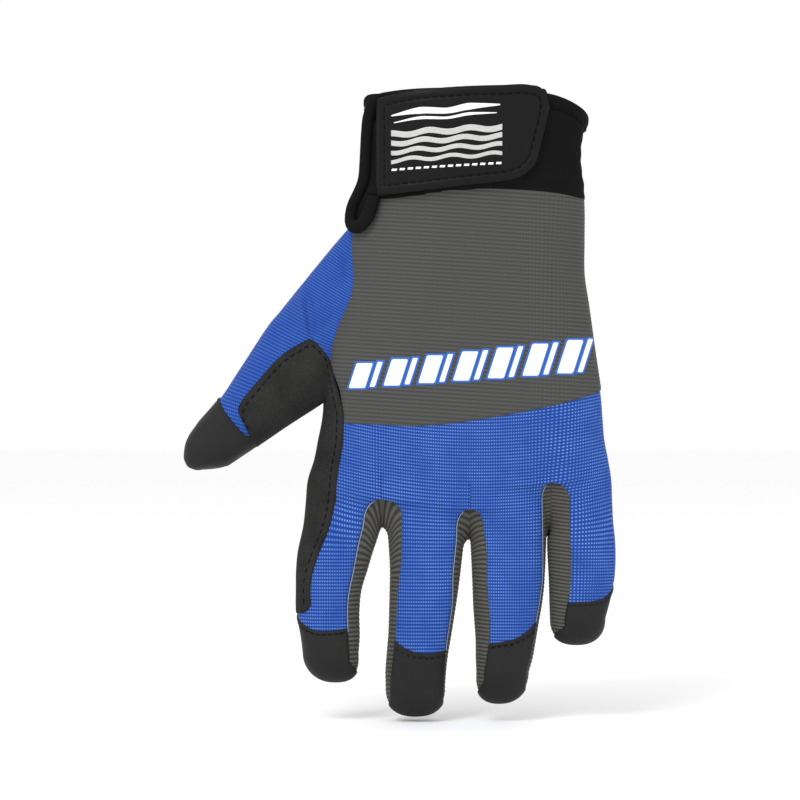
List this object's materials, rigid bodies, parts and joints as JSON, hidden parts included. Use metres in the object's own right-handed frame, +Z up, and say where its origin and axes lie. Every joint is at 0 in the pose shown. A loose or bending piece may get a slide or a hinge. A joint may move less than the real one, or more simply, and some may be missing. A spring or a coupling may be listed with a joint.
{
  "type": "sailing glove",
  "caption": "Left-hand full-finger sailing glove, worn shape: ribbed back, leather palm and fingertip hoods, hinged fingers and thumb, and a wrist strap that opens.",
  "frame": {"origin": "centre of the wrist mouth, where the wearer's wrist enters", "axes": "+Z up the forearm, fingers point to -Z; +Y out of the palm, the back of the hand faces -Y; +X towards the little finger"},
  "size_m": [0.1612, 0.0536, 0.2363],
  "materials": {
    "blue_fabric": "ribbed stretch knit, royal blue",
    "grey_fabric": "ribbed stretch knit, mid grey",
    "rib_fabric": "coarse ribbed stretch knit, warm grey",
    "black_suede": "black synthetic suede with a stitched edge",
    "black_leather": "black synthetic leather, fine grain",
    "neoprene": "black knit-faced neoprene",
    "strap_rubber": "smooth moulded black rubber on cloth",
    "hook_tape": "black hook and loop tape",
    "label_cloth": "plain woven label"
  },
  "bodies": {
    "hand": {"back_panel": "grey_fabric", "knuckle_panel": "blue_fabric", "palm_panel": "black_leather", "index_side_guard": "black_suede", "wrist_gusset": "blue_fabric", "index_middle_crotch": "rib_fabric", "middle_ring_crotch": "rib_fabric", "ring_little_crotch": "rib_fabric", "palm_pad": "black_suede", "heel_pad": "black_suede", "cuff_back": "neoprene", "cuff_palm": "neoprene", "cuff_hem": "neoprene", "slit_binding": "neoprene", "loop_patch": "hook_tape", "wrist_elastic": "neoprene", "size_label": "label_cloth", "thumb_back_gusset": "blue_fabric", "thumb_guard_gusset": "black_suede", "thumb_palm_gusset": "black_leather"},
    "strap": {"strap": "strap_rubber", "hook_patch": "hook_tape"},
    "index_base": {"index_back_base": "blue_fabric", "index_palm_base": "black_leather", "index_guard_base": "black_suede", "index_right_fourchette_base": "rib_fabric"},
    "index_end": {"index_back_end": "blue_fabric", "index_palm_end": "black_leather", "index_guard_end": "black_suede", "index_right_fourchette_end": "rib_fabric", "index_hood": "black_leather"},
    "middle_base": {"middle_back_base": "blue_fabric", "middle_palm_base": "black_leather", "middle_left_fourchette_base": "rib_fabric", "middle_right_fourchette_base": "rib_fabric"},
    "middle_end": {"middle_back_end": "blue_fabric", "middle_palm_end": "black_leather", "middle_left_fourchette_end": "rib_fabric", "middle_right_fourchette_end": "rib_fabric", "middle_hood": "black_leather"},
    "ring_base": {"ring_back_base": "blue_fabric", "ring_palm_base": "black_leather", "ring_left_fourchette_base": "rib_fabric", "ring_right_fourchette_base": "rib_fabric"},
    "ring_end": {"ring_back_end": "blue_fabric", "ring_palm_end": "black_leather", "ring_left_fourchette_end": "rib_fabric", "ring_right_fourchette_end": "rib_fabric", "ring_hood": "black_leather"},
    "little_base": {"little_back_base": "blue_fabric", "little_palm_base": "black_leather", "little_left_fourchette_base": "rib_fabric"},
    "little_end": {"little_back_end": "blue_fabric", "little_palm_end": "black_leather", "little_left_fourchette_end": "rib_fabric", "little_hood": "black_leather"},
    "thumb_base": {"thumb_back_base": "blue_fabric", "thumb_guard_base": "black_suede", "thumb_palm_base": "black_leather"},
    "thumb_end": {"thumb_hood": "black_leather"}
  },
  "joints": [
    {"name": "strap_opens", "type": "hinge", "parent": "hand", "child": "strap", "pos_m": [-0.0393, -0.01682, -0.019], "axis": [0, 0, -1], "range_deg": [0, 120]},
    {"name": "index_knuckle", "type": "hinge", "parent": "hand", "child": "index_base", "pos_m": [-0.05009, 0.00622, -0.161], "axis": [1, 0, 0], "range_deg": [0, 70]},
    {"name": "index_middle_joint", "type": "hinge", "parent": "index_base", "child": "index_end", "pos_m": [-0.05453, 0.00579, -0.1875], "axis": [1, 0, 0], "range_deg": [0, 80]},
    {"name": "middle_knuckle", "type": "hinge", "parent": "hand", "child": "middle_base", "pos_m": [-0.01866, 0.00644, -0.1645], "axis": [1, 0, 0], "range_deg": [0, 70]},
    {"name": "middle_middle_joint", "type": "hinge", "parent": "middle_base", "child": "middle_end", "pos_m": [-0.0198, 0.00606, -0.194], "axis": [1, 0, 0], "range_deg": [0, 80]},
    {"name": "ring_knuckle", "type": "hinge", "parent": "hand", "child": "ring_base", "pos_m": [0.0118, 0.00622, -0.164], "axis": [1, 0, 0], "range_deg": [0, 70]},
    {"name": "ring_middle_joint", "type": "hinge", "parent": "ring_base", "child": "ring_end", "pos_m": [0.01186, 0.00592, -0.191], "axis": [1, 0, 0], "range_deg": [0, 80]},
    {"name": "little_knuckle", "type": "hinge", "parent": "hand", "child": "little_base", "pos_m": [0.03954, 0.00577, -0.1595], "axis": [1, 0, 0], "range_deg": [0, 70]},
    {"name": "little_middle_joint", "type": "hinge", "parent": "little_base", "child": "little_end", "pos_m": [0.04022, 0.0055, -0.1795], "axis": [1, 0, 0], "range_deg": [0, 80]},
    {"name": "thumb_base_joint", "type": "hinge", "parent": "hand", "child": "thumb_base", "pos_m": [-0.07086, 0.01175, -0.10496], "axis": [0.7071, 0, -0.7071], "range_deg": [0, 45]},
    {"name": "thumb_tip_joint", "type": "hinge", "parent": "thumb_base", "child": "thumb_end", "pos_m": [-0.0862, 0.01199, -0.12035], "axis": [0.7071, 0, -0.7071], "range_deg": [0, 60]}
  ]
}
